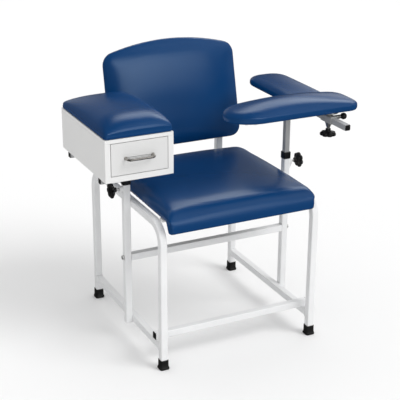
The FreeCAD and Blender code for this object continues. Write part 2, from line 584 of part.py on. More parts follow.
put("rear_arm_board", rb)
put("rear_arm_pad", rp.cut(plan_solid(rpx0 + 14, rpx1 - 14, rpy0 + 14, rpy1 - 14, REAR_PAD_Z[0], REAR_PAD_Z[0] + 9, 48.0)))
put("rear_pad_screws", group([screw((ARM_X, y, ARM_TUBE_Z), (0, 0, 1), SLIDE_TUBE + 8, 1.9, 4.0, 2.4) for y in pad_screw_y]))

# sleeve that slides on the arm tube
sy0, sy1 = SLEEVE_Y
sl = sq_tube((ARM_X, sy0, az), (ARM_X, sy1, az), TUBE, 2.3, 3.0)
sl = sl.cut(cyl(4.3, (ARM_X, SLEEVE_AXIS_Y, az - 8), (ARM_X, SLEEVE_AXIS_Y, az - 20)))
sl = sl.cut(cyl(3.4, (ARM_X + 8, SLEEVE_AXIS_Y - 4, az + 2), (ARM_X + 20, SLEEVE_AXIS_Y - 4, az + 2)))
put("arm_sleeve", sl)
st = az + TUBE / 2.0
sb = az - TUBE / 2.0
# tapered boss for the clamp screw under the sleeve
nut = Part.makeCone(12.3, 5.8, 20.0, V(ARM_X, SLEEVE_AXIS_Y, sb), V(0, 0, -1)).cut(
    cyl(STUD_HOLE_R, (ARM_X, SLEEVE_AXIS_Y, sb + 1), (ARM_X, SLEEVE_AXIS_Y, sb - 21)))
put("sleeve_clamp_stud", cyl(STUD_R, (ARM_X, SLEEVE_AXIS_Y, ARM_TUBE_Z - 0.3), (ARM_X, SLEEVE_AXIS_Y, sb - 39)))
put("sleeve_star_knob", star_knob((ARM_X, SLEEVE_AXIS_Y, sb - 23), (0, 0, -1), (1, 0, 0)))
# index plunger on the sleeve's outer side
py, pz = SLEEVE_AXIS_Y - 4, az + 2
sx1 = ARM_X + TUBE / 2.0
barrel = cyl(7.0, (sx1, py, pz), (sx1 + 30, py, pz)).cut(cyl(3.1, (sx1 - 1, py, pz), (sx1 + 31, py, pz)))
put("sleeve_bosses", group([nut, barrel]))
pin = cyl(3.05, (ARM_X + S2 + 0.5, py, pz), (sx1 + 44, py, pz))
ball = Part.makeSphere(11.5, V(sx1 + 44, py, pz)).common(box(sx1 + 34, sx1 + 60, py - 20, py + 20, pz - 20, pz + 20))
put("index_plunger", ball.fuse(pin).removeSplitter())
# swing pivot: shoulder bolt standing on the sleeve through a washer
fz0, fz_rim, fz1 = FRONT_PAD_Z
pv = cyl(12.0, (ARM_X, SLEEVE_AXIS_Y, st), (ARM_X, SLEEVE_AXIS_Y, st + 1.0)).fuse(
    cyl(6.0, (ARM_X, SLEEVE_AXIS_Y, st), (ARM_X, SLEEVE_AXIS_Y, fz0 + 2.6))).fuse(
    cyl(9.0, (ARM_X, SLEEVE_AXIS_Y, fz0 + 0.3), (ARM_X, SLEEVE_AXIS_Y, fz0 + 3.0)))
put("swing_pivot", pv.removeSplitter())
# flange under the front pad: a hub and a plate
fl = cyl(14.0, (ARM_X, SLEEVE_AXIS_Y, st + 1.3), (ARM_X, SLEEVE_AXIS_Y, fz0 - 3)).fuse(
    cyl(32.0, (ARM_X, SLEEVE_AXIS_Y, fz0 - 4), (ARM_X, SLEEVE_AXIS_Y, fz0)))
fl = fl.cut(cyl(6.05, (ARM_X, SLEEVE_AXIS_Y, st), (ARM_X, SLEEVE_AXIS_Y, fz0 + 1))).removeSplitter()
fx0, fx1, fy0, fy1 = FRONT_PAD
fsc = [(ARM_X + 25 * math.cos(math.radians(a)), SLEEVE_AXIS_Y + 25 * math.sin(math.radians(a))) for a in (45, 135, 225, 315)]


def front_plan(d, z0, z1):
    """Front pad's outline drawn inside by d: round left end, tighter front right corner."""
    x0, x1, y0, y1 = fx0 + d, fx1 - d, fy0 + d, fy1 - d
    k = 1 - math.sqrt(0.5)
    a, b, c = 80.5 - d, 41.0 - d, 65.0 - d        # left corners, front right, rear right
    runs = [[(x1 - b, y0), (x1 - b * k, y0 + b * k), (x1, y0 + b)], [(x1, y1 - c), (x1 - c * k, y1 - c * k), (x1 - c, y1)],
            [(x0 + a, y1), (x0 + a * k, y1 - a * k), (x0, y1 - a)], [(x0, y0 + a), (x0 + a * k, y0 + a * k), (x0 + a, y0)]]
    ee = []
    for n, r in enumerate(runs):
        ee.append(Part.Arc(*[V(px, py_, z0) for px, py_ in r]).toShape())
        nxt = runs[(n + 1) % 4][0]
        ee.append(Part.LineSegment(V(r[2][0], r[2][1], z0), V(nxt[0], nxt[1], z0)).toShape())
    return Part.Face(Part.Wire(ee)).extrude(V(0, 0, z1 - z0))


fb = front_plan(14, fz0, fz0 + 10)
fp = crowned(front_plan(0, fz0, fz1 + 5), FRONT_PAD, fz_rim, fz1, 8.0).cut(fb)
fb = fb.cut(cyl(10.5, (ARM_X, SLEEVE_AXIS_Y, fz0 - 1), (ARM_X, SLEEVE_AXIS_Y, fz0 + 5)))
screws = []
for x, y in fsc:
    fl = fl.cut(cyl(2.2, (x, y, st), (x, y, fz0 + 1)))
    fb = fb.cut(cyl(1.9, (x, y, fz0 - 1), (x, y, fz0 + 9)))
    screws.append(screw((x, y, fz0 - 4), (0, 0, 1), 12.5, 1.9, 3.6, 2.0))
put("swing_flange", fl)
put("flange_screws", group(screws))
put("front_arm_board", fb)
put("front_arm_pad", fp)

# -------------------------------------------------------------- summary
bbx = out[0][1].BoundBox
for _, s in out:
    bbx.add(s.BoundBox)
print("nodes", len(out))
print("box X %.1f %.1f  Y %.1f %.1f  Z %.1f %.1f" % (bbx.XMin, bbx.XMax, bbx.YMin, bbx.YMax, bbx.ZMin, bbx.ZMax))
print("centre offset %.2f %.2f" % ((bbx.XMin + bbx.XMax) / 2, (bbx.YMin + bbx.YMax) / 2))
for n, s in out:
    if len(s.Solids) < 1:
        print("no solid in", n)
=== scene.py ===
import json
import math

import bmesh
import bpy
import numpy as np
from mathutils import Matrix, Vector


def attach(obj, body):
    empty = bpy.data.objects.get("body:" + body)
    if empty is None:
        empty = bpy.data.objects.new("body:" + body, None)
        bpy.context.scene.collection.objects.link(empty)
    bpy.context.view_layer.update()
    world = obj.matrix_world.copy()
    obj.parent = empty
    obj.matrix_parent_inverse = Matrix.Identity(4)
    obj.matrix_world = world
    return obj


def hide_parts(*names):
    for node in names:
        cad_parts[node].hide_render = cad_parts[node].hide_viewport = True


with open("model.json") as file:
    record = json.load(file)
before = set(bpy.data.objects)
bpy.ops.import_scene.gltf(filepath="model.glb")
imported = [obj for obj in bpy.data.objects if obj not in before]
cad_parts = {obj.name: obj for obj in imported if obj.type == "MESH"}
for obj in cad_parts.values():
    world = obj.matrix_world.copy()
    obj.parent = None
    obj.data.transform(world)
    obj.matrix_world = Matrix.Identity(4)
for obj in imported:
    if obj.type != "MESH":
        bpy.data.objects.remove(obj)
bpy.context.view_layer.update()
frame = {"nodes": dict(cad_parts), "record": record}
sc = bpy.context.scene
nodes = frame["nodes"]

# The layout numbers are millimetres from the middle of the feet; these two
# shift them to the frame's origin.
OX, OY = -14.35, -62.25


def L(x, y, z):
    """Layout millimetres to frame metres."""
    return Vector(((x - OX) / 1000.0, (y - OY) / 1000.0, z / 1000.0))


# ------------------------------------------------------------------ materials
def new_mat(name):
    m = bpy.data.materials.new(name)
    m.use_nodes = True
    nt = m.node_tree
    return m, nt, nt.nodes["Principled BSDF"]


def node(nt, kind, **sockets):
    n = nt.nodes.new(kind)
    for k, v in sockets.items():
        n.inputs[k.replace("_", " ")].default_value = v
    return n


def coords(nt):
    return nt.nodes.new("ShaderNodeTexCoord").outputs["Object"]


def ramp(nt, fac, a, b, lo=0.3, hi=0.7):
    r = nt.nodes.new("ShaderNodeValToRGB")
    r.color_ramp.elements[0].position = lo
    r.color_ramp.elements[0].color = (*a, 1)
    r.color_ramp.elements[1].position = hi
    r.color_ramp.elements[1].color = (*b, 1)
    nt.links.new(fac, r.inputs["Fac"])
    return r.outputs["Color"]


def spread(nt, fac, lo, hi):
    r = nt.nodes.new("ShaderNodeMapRange")
    r.inputs["To Min"].default_value = lo
    r.inputs["To Max"].default_value = hi
    nt.links.new(fac, r.inputs["Value"])
    return r.outputs["Result"]


def noise(nt, scale, detail=3.0, rough=0.5, stretch=None):
    c = coords(nt)
    if stretch:
        mp = nt.nodes.new("ShaderNodeMapping")
        mp.inputs["Scale"].default_value = stretch
        nt.links.new(c, mp.inputs["Vector"])
        c = mp.outputs["Vector"]
    n = node(nt, "ShaderNodeTexNoise", Scale=scale, Detail=detail, Roughness=rough)
    nt.links.new(c, n.inputs["Vector"])
    return n.outputs["Fac"]


def bump(nt, bsdf, height, distance, strength=1.0, normal=None):
    b = node(nt, "ShaderNodeBump", Strength=strength, Distance=distance)
    nt.links.new(height, b.inputs["Height"])
    if normal:
        nt.links.new(normal, b.inputs["Normal"])
    nt.links.new(b.outputs["Normal"], bsdf.inputs["Normal"])
    return b.outputs["Normal"]


def powder(name, a, b, rough=(0.3, 0.42)):
    """Powder coat: faint orange peel, slightly uneven tone."""
    m, nt, p = new_mat(name)
    nt.links.new(ramp(nt, noise(nt, 9.0, 4.0), a, b), p.inputs["Base Color"])
    nt.links.new(spread(nt, noise(nt, 60.0, 3.0), *rough), p.inputs["Roughness"])
    bump(nt, p, noise(nt, 420.0, 2.0), 0.00006, 0.5)
    return m


def metal(name, a, b, rough, stretch, metallic=1.0, scale=60.0):
    """Drawn or plated metal with fine lines along its length."""
    m, nt, p = new_mat(name)
    p.inputs["Metallic"].default_value = metallic
    lines = noise(nt, scale, 5.0, 0.65, stretch)
    nt.links.new(ramp(nt, lines, a, b), p.inputs["Base Color"])
    nt.links.new(spread(nt, lines, *rough), p.inputs["Roughness"])
    bump(nt, p, lines, 0.00003, 0.4)
    return m


def plastic(name, a, b, rough, grain=700.0, depth=0.00008):
    m, nt, p = new_mat(name)
    nt.links.new(ramp(nt, noise(nt, 25.0), a, b), p.inputs["Base Color"])
    nt.links.new(spread(nt, noise(nt, 130.0), *rough), p.inputs["Roughness"])
    bump(nt, p, noise(nt, grain, 2.0), depth, 0.6)
    return m


def vinyl(name):
    """Smooth coated upholstery: satin, with a very fine pebble grain."""
    m, nt, p = new_mat(name)
    nt.links.new(ramp(nt, noise(nt, 5.0, 3.0), (0.0008, 0.0370, 0.138), (0.0010, 0.0410, 0.150)), p.inputs["Base Color"])
    nt.links.new(spread(nt, noise(nt, 45.0, 3.0), 0.24, 0.28), p.inputs["Roughness"])
    v = node(nt, "ShaderNodeTexVoronoi", Scale=1050.0)
    v.feature = "DISTANCE_TO_EDGE"
    nt.links.new(coords(nt), v.inputs["Vector"])
    n1 = bump(nt, p, spread(nt, v.outputs["Distance"], 0.0, 1.0), 0.00004, 0.5)
    bump(nt, p, noise(nt, 24.0, 2.0), 0.0004, 0.2, n1)
    p.inputs["Specular IOR Level"].default_value = 0.5
    p.inputs["Specular Tint"].default_value = (0.74, 0.91, 1.0, 1)
    return m


def board(name, a, b):
    """Laminated board: smooth white face with a faint texture."""
    m, nt, p = new_mat(name)
    nt.links.new(ramp(nt, noise(nt, 3.0, 5.0), a, b), p.inputs["Base Color"])
    nt.links.new(spread(nt, noise(nt, 90.0, 3.0), 0.38, 0.5), p.inputs["Roughness"])
    bump(nt, p, noise(nt, 300.0, 3.0), 0.00005, 0.5)
    return m


def plywood(name):
    m, nt, p = new_mat(name)
    g = noise(nt, 14.0, 6.0, 0.6, (1.0, 14.0, 1.0))
    nt.links.new(ramp(nt, g, (0.030, 0.028, 0.026), (0.050, 0.046, 0.042)), p.inputs["Base Color"])
    nt.links.new(spread(nt, g, 0.55, 0.75), p.inputs["Roughness"])
    bump(nt, p, g, 0.0003, 0.5)
    return m


MAT = {
    "white_frame": powder("frame_powder_coat", (0.79, 0.795, 0.80), (0.83, 0.835, 0.84)),
    "slide_steel": metal("slide_tube_silver", (0.44, 0.445, 0.45), (0.53, 0.535, 0.54), (0.36, 0.48), (40.0, 40.0, 1.0), 0.35),
    "zinc_hardware": metal("zinc_plate", (0.55, 0.55, 0.54), (0.68, 0.68, 0.67), (0.26, 0.4), (1.0, 1.0, 1.0), 0.95, 220.0),
    "handle_metal": metal("handle_nickel", (0.36, 0.34, 0.32), (0.48, 0.46, 0.43), (0.2, 0.34), (1.0, 30.0, 30.0), 1.0, 90.0),
    "black_plastic": plastic("black_plastic", (0.0035, 0.0035, 0.004), (0.007, 0.007, 0.0075), (0.34, 0.46)),
    "foot_rubber": plastic("foot_rubber", (0.006, 0.006, 0.006), (0.011, 0.011, 0.011), (0.5, 0.65), 500.0, 0.00014),
    "blue_vinyl": vinyl("blue_vinyl"),
    "white_board": board("white_board", (0.78, 0.78, 0.775), (0.80, 0.80, 0.795)),
    "drawer_board": board("drawer_board", (0.70, 0.70, 0.695), (0.72, 0.72, 0.715)),
    "dark_board": plywood("board_dark"),
}
slot_of = {s["node"]: s["material_slot"] for s in frame["record"]["subparts"]}
for name, ob in nodes.items():
    ob.data.materials.clear()
    ob.data.materials.append(MAT[slot_of[name]])


# -------------------------------------------------------------- mesh helpers
def mesh_object(name, verts, faces, mat=None, smooth=True, angle=40.0):
    me = bpy.data.meshes.new(name)
    me.from_pydata([tuple(v) for v in verts], [], faces)
    me.update()
    bm = bmesh.new()
    bm.from_mesh(me)
    bmesh.ops.recalc_face_normals(bm, faces=bm.faces)
    bm.to_mesh(me)
    bm.free()
    if smooth:
        me.shade_smooth()
        me.set_sharp_from_angle(angle=math.radians(angle))
    ob = bpy.data.objects.new(name, me)
    sc.collection.objects.link(ob)
    if mat:
        me.materials.append(MAT[mat])
    return ob


def soften(name, width, segments=2, angle=35.0):
    """Round the edges of a carried-over node with modifiers only."""
    ob = nodes[name]
    w = ob.modifiers.new("weld", "WELD")
    w.merge_threshold = 0.00002
    b = ob.modifiers.new("bevel", "BEVEL")
    b.width = width
    b.segments = segments
    b.limit_method = "ANGLE"
    b.angle_limit = math.radians(angle)
    b.use_clamp_overlap = True
    b.harden_normals = True


def rings_mesh(rings, cap_start=True, cap_end=True, start=0):
    """Faces joining equal-length rings of points, in order."""
    verts, faces = [], []
    n = len(rings[0])
    for r in rings:
        verts.extend(r)
    for i in range(len(rings) - 1):
        for j in range(n):
            k = (j + 1) % n
            faces.append((start + i * n + j, start + i * n + k, start + (i + 1) * n + k, start + (i + 1) * n + j))
    if cap_start:
        faces.append(tuple(start + j for j in reversed(range(n))))
    if cap_end:
        faces.append(tuple(start + (len(rings) - 1) * n + j for j in range(n)))
    return verts, faces


def basis(zdir, xhint):
    z = Vector(zdir).normalized()
    x = Vector(xhint)
    x = (x - z * x.dot(z)).normalized()
    y = z.cross(x)
    return Matrix((x, y, z)).transposed()


# --------------------------------------------------------------- soft pieces
def round_outline(x0, x1, y0, y1, radii, step=5.0):
    """Counter-clockwise outline with corner radii (front left, front right, rear right, rear left)."""
    (flx, fly), (frx, fry), (rrx, rry), (rlx, rly) = [r if isinstance(r, tuple) else (r, r) for r in radii]
    corners = [(x1 - frx, y0 + fry, frx, fry, -90), (x1 - rrx, y1 - rry, rrx, rry, 0), (x0 + rlx, y1 - rly, rlx, rly, 90), (x0 + flx, y0 + fly, flx, fly, 180)]
    pts = []
    for cx, cy, rx, ry, a0 in corners:
        n = max(6, int(max(rx, ry) * math.pi / 2 / step))
        for i in range(n + 1):
            a = math.radians(a0 + 90.0 * i / n)
            pts.append((cx + rx * math.cos(a), cy + ry * math.sin(a)))
    return even(pts, step)


def even(pts, step):
    """Resample a closed line to even steps."""
    p = np.array(pts + [pts[0]], float)
    seg = np.linalg.norm(np.diff(p, axis=0), axis=1)
    s = np.concatenate([[0], np.cumsum(seg)])
    n = max(24, int(round(s[-1] / step)))
    t = np.arange(n) * s[-1] / n
    return np.stack([np.interp(t, s, p[:, 0]), np.interp(t, s, p[:, 1])], 1)


def outward(p):
    d = np.roll(p, -1, 0) - np.roll(p, 1, 0)
    n = np.stack([d[:, 1], -d[:, 0]], 1)
    return n / np.linalg.norm(n, axis=1)[:, None]


def edge_distance(q, line):
    a, b = line, np.roll(line, -1, 0)
    ab = b - a
    out = np.empty(len(q))
    for i in range(0, len(q), 2000):
        c = q[i:i + 2000]
        t = np.clip(((c[:, None] - a) * ab).sum(2) / (ab ** 2).sum(1), 0, 1)
        out[i:i + 2000] = np.sqrt((((a + ab * t[..., None]) - c[:, None]) ** 2).sum(2)).min(1)
    return out


def pad_source(outline, side, top, bottom, centre):
    """Closed surface in pad space (mm). side: (outward shift, z) from the underside up to the top's rim;
    top and bottom: functions of points and their distance from the rim."""
    nrm = outward(outline)
    rings = []
    scales = [0.04, 0.15, 0.3, 0.45, 0.6, 0.72, 0.82, 0.9, 0.95]
    first = outline + nrm * side[0][0]
    for s in scales:
        q = centre + (first - centre) * s
        rings.append(np.column_stack([q, bottom(q, edge_distance(q, first)) + 0 * q[:, 0]]))
    for d, z in side:
        q = outline + nrm * d
        zz = z(q) if callable(z) else np.full(len(q), float(z))
        rings.append(np.column_stack([q, zz]))
    last = outline + nrm * side[-1][0]
    for s in [0.997, 0.992, 0.984, 0.974, 0.962, 0.945, 0.927, 0.905, 0.88, 0.85, 0.81, 0.77, 0.72, 0.66, 0.6, 0.52, 0.44, 0.36, 0.28, 0.2, 0.12, 0.05]:
        q = centre + (last - centre) * s
        rings.append(np.column_stack([q, top(q, edge_distance(q, last))]))
    return rings


def evaluated(ob, name):
    dg = bpy.context.evaluated_depsgraph_get()
    dg.update()
    me = bpy.data.meshes.new_from_object(ob.evaluated_get(dg), depsgraph=dg)
    me.name = name
    return me


def co_of(me):
    a = np.empty(len(me.vertices) * 3, np.float32)
    me.vertices.foreach_get("co", a)
    return a.reshape(-1, 3).astype(float)


def even_out(me, move, hold, rounds):
    """Average a movement over neighbouring points, so that a taut skin shows no fine creases."""
    e = np.empty(len(me.edges) * 2, np.int32)
    me.edges.foreach_get("vertices", e)
    a, b = e[0::2], e[1::2]
    n = len(me.vertices)
    count = np.bincount(a, minlength=n) + np.bincount(b, minlength=n)
    free = (~hold).astype(float)[:, None]
    move = move * free
    for _ in range(rounds):
        near = np.stack([np.bincount(a, move[b, k], n) + np.bincount(b, move[a, k], n) for k in range(3)], 1)
        move = (0.4 * move + 0.6 * near / np.maximum(count, 1)[:, None]) * free
    return move


def inflate(ob, hold, frames, pressure, cap):
    """Swell the skin with cloth pressure; points where hold is true stay put."""
    start = co_of(ob.data)
    g = ob.vertex_groups.new(name="hold")
    g.add([int(i) for i in np.nonzero(hold)[0]], 1.0, "REPLACE")
    m = ob.modifiers.new("cloth", "CLOTH")
    st = m.settings
    st.quality = 4
    st.mass = 0.4
    st.tension_stiffness = 40
    st.compression_stiffness = 40
    st.shear_stiffness = 20
    st.bending_stiffness = 12
    st.use_pressure = True
    st.uniform_pressure_force = pressure
    st.vertex_group_mass = "hold"
    st.effector_weights.gravity = 0
    m.collision_settings.use_collision = False
    m.point_cache.frame_start = 1
    m.point_cache.frame_end = frames
    for f in range(1, frames + 1):
        sc.frame_set(f)
    me = evaluated(ob, ob.name + "_swollen")
    end = co_of(me)
    ob.modifiers.remove(m)
    bpy.data.meshes.remove(me)
    sc.frame_set(1)
    move = even_out(ob.data, end - start, hold, 60)
    size = np.linalg.norm(move, axis=1)
    size[size < 1e-9] = 1e-9
    move *= (cap * np.tanh(size / cap) / size)[:, None]
    out = start + move
    ob.data.vertices.foreach_set("co", out.astype(np.float32).ravel())
    ob.data.update()
    print(ob.name, "swelled by up to %.1f mm" % (1000 * np.linalg.norm(move, axis=1).max()))


def build_pad(name, rings, voxel, to_world, body, replaces, hold_below=None, cap=0.006, pressure=4.0):
    """Ring surface -> even remesh drawn back onto it -> cloth swelling -> subdivision."""
    verts, faces = rings_mesh([[tuple(p) for p in r] for r in rings])
    world = [to_world(v) for v in verts]
    src = mesh_object(name + "_form", world, faces)
    work = src.copy()
    work.data = src.data.copy()
    sc.collection.objects.link(work)
    r = work.modifiers.new("remesh", "REMESH")
    r.mode = "VOXEL"
    r.voxel_size = voxel
    r.use_smooth_shade = True
    s = work.modifiers.new("smooth", "SMOOTH")
    s.factor = 0.5
    s.iterations = 3
    w = work.modifiers.new("draw", "SHRINKWRAP")
    w.wrap_method = "NEAREST_SURFACEPOINT"
    w.target = src
    me = evaluated(work, name)
    ob = bpy.data.objects.new(name, me)
    sc.collection.objects.link(ob)
    bpy.data.objects.remove(work)
    bpy.data.objects.remove(src)
    ob.modifiers.clear()
    me.materials.clear()
    me.materials.append(MAT["blue_vinyl"])
    me.shade_smooth()
    if hold_below is not None:
        inflate(ob, hold_below(co_of(me)), 16, pressure, cap)
    sub = ob.modifiers.new("sub", "SUBSURF")
    sub.levels = sub.render_levels = 1
    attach(ob, body)
    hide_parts(replaces)
    return ob


def flat_world(v):
    return L(*v)


def dome(q, cx, cy, hx, hy, height, n=2.2, m=0.8):
    u = np.clip(np.abs(q[:, 0] - cx) / hx, 0, 1)
    v = np.clip(np.abs(q[:, 1] - cy) / hy, 0, 1)
    return height * ((1 - u ** n) * (1 - v ** n)) ** m


def shoulder(d, height, reach):
    """Quarter-round rise from the rim."""
    t = np.clip(d / reach, 0, 1)
    return height * np.sqrt(np.clip(1 - (1 - t) ** 2, 0, 1))


def lopsided(q, x0, x1, y0, y1, cx, cy, height, n, m):
    """Dome whose highest point is off the middle."""
    u = np.where(q[:, 0] > cx, (q[:, 0] - cx) / (x1 - cx), (cx - q[:, 0]) / (cx - x0)).clip(0, 1)
    v = np.where(q[:, 1] > cy, (q[:, 1] - cy) / (y1 - cy), (cy - q[:, 1]) / (cy - y0)).clip(0, 1)
    return height * ((1 - u ** n) * (1 - v ** n)) ** m


# drawer box cushion: wrapped board edge with a small roll, then a high dome
bx0, bx1, by0, by1, bz = -452.0, -209.0, -215.0, 195.0, 822.0
line = round_outline(bx0 + 1, bx1 - 1, by0 + 1, by1 - 1, (11, 11, 14, 14), 3.0)
bc = np.array([(bx0 + bx1) / 2, (by0 + by1) / 2])


def box_top(q, d):
    return bz + 12.0 + shoulder(d, 6.0, 9.0) + lopsided(q, bx0, bx1, by0, by1, -296.0, -88.0, 45.5, 3.0, 0.5)


rings = pad_source(line, [(-3.0, bz + 0.2), (-0.8, bz + 1.0), (0.6, bz + 3.5), (1.0, bz + 6.5), (0.8, bz + 9.0), (0.4, bz + 10.8), (0.0, bz + 12.0)],
                   box_top, lambda q, d: bz + 0.2, bc)
build_pad("box_cushion_vinyl", rings, 0.0035, flat_world, "left_arm", "box_cushion",
          lambda c: c[:, 2] < (bz + 14.0) / 1000.0, 0.003, 3.0)

# rear arm pad
rx0, rx1, ry0, ry1, rz = 251.0, 408.0, -190.0, 158.0, 839.0
line = round_outline(rx0 + 0.5, rx1 - 0.5, ry0 + 0.5, ry1 - 0.5, (60, 60, 64.5, 64.5), 4.0)
rc = np.array([(rx0 + rx1) / 2, (ry0 + ry1) / 2])


def rear_top(q, d):
    return rz + 15.7 + shoulder(d, 13.0, 35.7) + dome(q, rc[0], rc[1], 78.5, 174, 6.9, 2.0, 1.0)


rings = pad_source(line, [(-9.0, rz + 0.3), (-5.0, rz + 1.0), (-2.2, rz + 3.0), (-0.5, rz + 6.5), (0.0, rz + 9.5), (-0.1, rz + 12.5), (-0.5, rz + 15.7)],
                   rear_top, lambda q, d: rz + 0.3, rc)
build_pad("rear_arm_pad_vinyl", rings, 0.0035, flat_world, "right_arm", "rear_arm_pad",
          lambda c: c[:, 2] < (rz + 3.0) / 1000.0, 0.002, 3.0)

# front arm pad
fx0, fx1, fy0, fy1, fz = -54.0, 423.3, -370.5, -207.8, 855.0
line = round_outline(fx0 - 6.5, fx1 - 0.5, fy0 + 0.5, fy1 - 0.5, ((112, 80.8), 40.4, 65.3, (104, 80.8)), 4.0)
fc = np.array([(fx0 + fx1) / 2, (fy0 + fy1) / 2])


def front_top(q, d):
    return fz + 18.6 + shoulder(d, 12.2, 31.8) + dome(q, fc[0], fc[1], 238.6, 81.3, 27.9, 2.0, 1.0)


rings = pad_source(line, [(-9.0, fz + 0.3), (-5.0, fz + 1.0), (-2.2, fz + 3.0), (-0.5, fz + 6.5), (0.1, fz + 10.0), (0.0, fz + 14.0), (-0.5, fz + 18.6)],
                   front_top, lambda q, d: fz + 0.3, fc)
build_pad("front_arm_pad_vinyl", rings, 0.0035, flat_world, "front_pad", "front_arm_pad",
          lambda c: c[:, 2] < (fz + 3.0) / 1000.0, 0.002, 3.0)

# seat: waterfall front, so its surface is drawn as sections from front to rear
SX, SF, SR, SB, LIP = 279.0, -339.0, 227.0, 543.4, 507.0


def seat_rings():
    """Profile of one section of the seat as (y, z) points; seat_sections repeats it along the side-to-side axis,
    shrunk to the rounded plan.
    """
    prof = []
    for y, z in ((SR, 556), (SR, SB + 3), (SR - 3, SB)):
        prof.append((y, z))
    for y in list(np.linspace(SR - 7, SR - 72, 11)) + list(np.linspace(SR - 90, -290, 23)):
        prof.append((y, SB))
    prof += [(-298, SB), (-305, 536), (-311, 524), (-315, 514), (-320, LIP + 1), (-325, LIP), (-331, LIP), (-336, LIP + 1.5), (SF, LIP + 6)]
    # the face leans back on a large radius, then turns over the crest on a small one
    for i in range(9):
        t = math.radians(22.0 * i / 8)
        prof.append((SF + 95 * (1 - math.cos(t)), 516 + 95 * math.sin(t)))
    ey, ez = prof[-1]
    for i in range(1, 13):
        t = math.radians(22.0 + 66.0 * i / 12)
        prof.append((ey + 50 * (math.cos(math.radians(22)) - math.cos(t)), ez + 50 * (math.sin(t) - math.sin(math.radians(22)))))
    ey, ez = prof[-1]
    for y in np.linspace(ey + 8, SR - 45, 30):
        t = (y - ey) / (SR - 45 - ey)
        prof.append((y, ez + (583.0 - ez) * min(t * 6, 1) + 4.0 * math.sin(math.pi * min(t * 1.15, 1.0)) - 3.4 * t))
    prof += [(SR - 34, 578.6), (SR - 24, 576), (SR - 14, 572), (SR - 6, 566), (SR - 1.5, 560)]
    return np.array(prof, float)


prof = seat_rings()
prof_top = prof[:, 1] > 545


def seat_half_width(y):
    """Half width of the seat's plan at y: rounded rear corners, small front ones."""
    r1, r0 = 77.0, 13.0
    w = np.full_like(y, SX)
    a = np.clip(y - (SR - r1), 0, r1 - 0.01)
    w = np.where(y > SR - r1, SX - r1 + np.sqrt(np.maximum(r1 ** 2 - a ** 2, 0)), w)
    b = np.clip((SF + r0) - y, 0, r0 - 0.01)
    w = np.where(y < SF + r0, SX - r0 + np.sqrt(np.maximum(r0 ** 2 - b ** 2, 0)), w)
    return w


def seat_sections():
    """Rings round the section, one per station across the seat, rounded off at both sides."""
    rings = []
    half = seat_half_width(prof[:, 0])
    zc = 545.0
    for s in np.concatenate([[-1, -0.9985, -0.995, -0.99, -0.983, -0.975, -0.965, -0.95, -0.93, -0.9], np.linspace(-0.86, 0.86, 40), [0.9, 0.93, 0.95, 0.965, 0.975, 0.983, 0.99, 0.995, 0.9985, 1]]):
        x = s * half
        edge = (1 - abs(s)) * SX                       # distance in from the side
        t = min(edge / 26.0, 1.0)
        lift = math.sqrt(max(1 - (1 - t) ** 2, 0.0))   # quarter round at the side
        crown = 7.0 * (1 - abs(s) ** 2.2)
        z = prof[:, 1].copy()
        top = z > 548
        side_top = 556.0
        z[top] = side_top * (1 - lift) + z[top] * lift
        low = (~top)
        share = np.clip((z - 545.0) / 38.0, 0, 1)
        share = share * share * (3 - 2 * share)
        z = np.where(prof_top, z + (crown - 3.0) * share, z)
        y = prof[:, 0].copy()
        rings.append(np.column_stack([x, y, z]))
    return rings


rings = seat_sections()
build_pad("seat_cushion_vinyl", rings, 0.005, flat_world, "frame", "seat_cushion",
          lambda c: c[:, 2] < 0.5450, 0.006, 3.0)

# back cushion, drawn flat and leaned onto its slope
TILT = math.radians(12.6)
slope = Vector((0, math.sin(TILT), math.cos(TILT)))
normal = Vector((0, math.cos(TILT), -math.sin(TILT)))
low = L(4.0, 186.0, 622.0)
BX, BH, BSH, BT = 267.5, 395.5, 336.0, 38.0


def back_line(step=5.0):
    rb, rt = 42.0, 50.0
    pts = []
    for i in range(13):
        a = math.radians(-90 + 90 * i / 12)
        pts.append((BX - rb + rb * math.cos(a), rb + rb * math.sin(a)))
    c = (BX - 3 - rt, BSH - 20)
    for i in range(13):
        a = math.radians(68.0 * i / 12)
        pts.append((c[0] + rt * math.cos(a), c[1] + rt * math.sin(a)))
    ex, ez = pts[-1]
    R = (ex ** 2 + (BH - ez) ** 2) / (2 * (BH - ez))
    a1 = math.asin(ex / R)
    for i in range(1, 40):
        a = a1 * (1 - 2 * i / 40.0)
        pts.append((R * math.sin(a), BH - R + R * math.cos(a)))
    for x, z in reversed(pts[:26]):
        pts.append((-x, z))
    return even(pts, step)


line = back_line()
bcn = np.array([0.0, 190.0])


def back_world(v):
    """(across, up the slope, towards the sitter) to the frame."""
    return low + Vector((v[0] / 1000.0, 0, 0)) + slope * (v[1] / 1000.0) - normal * (v[2] / 1000.0)


def back_top(q, d):
    return -24.0 + shoulder(d, 16.0, 58.0) + dome(q, 0, 188, 264, 198, 14.0, 2.5, 0.75)


rings = pad_source(line, [(-9.0, -BT + 0.2), (-5.0, -BT + 1.2), (-1.8, -BT + 4.5), (-0.2, -BT + 8.0), (0.2, -BT + 10.5), (0.1, -26.0), (-0.4, -24.0)],
                   back_top, lambda q, d: -BT + 0.2, bcn)


def back_hold(c):
    rel = c - np.array(low)
    return rel @ np.array(normal) > (BT - 6.0) / 1000.0


build_pad("back_cushion_vinyl", rings, 0.0055, back_world, "frame", "back_cushion", back_hold, 0.006, 3.0)


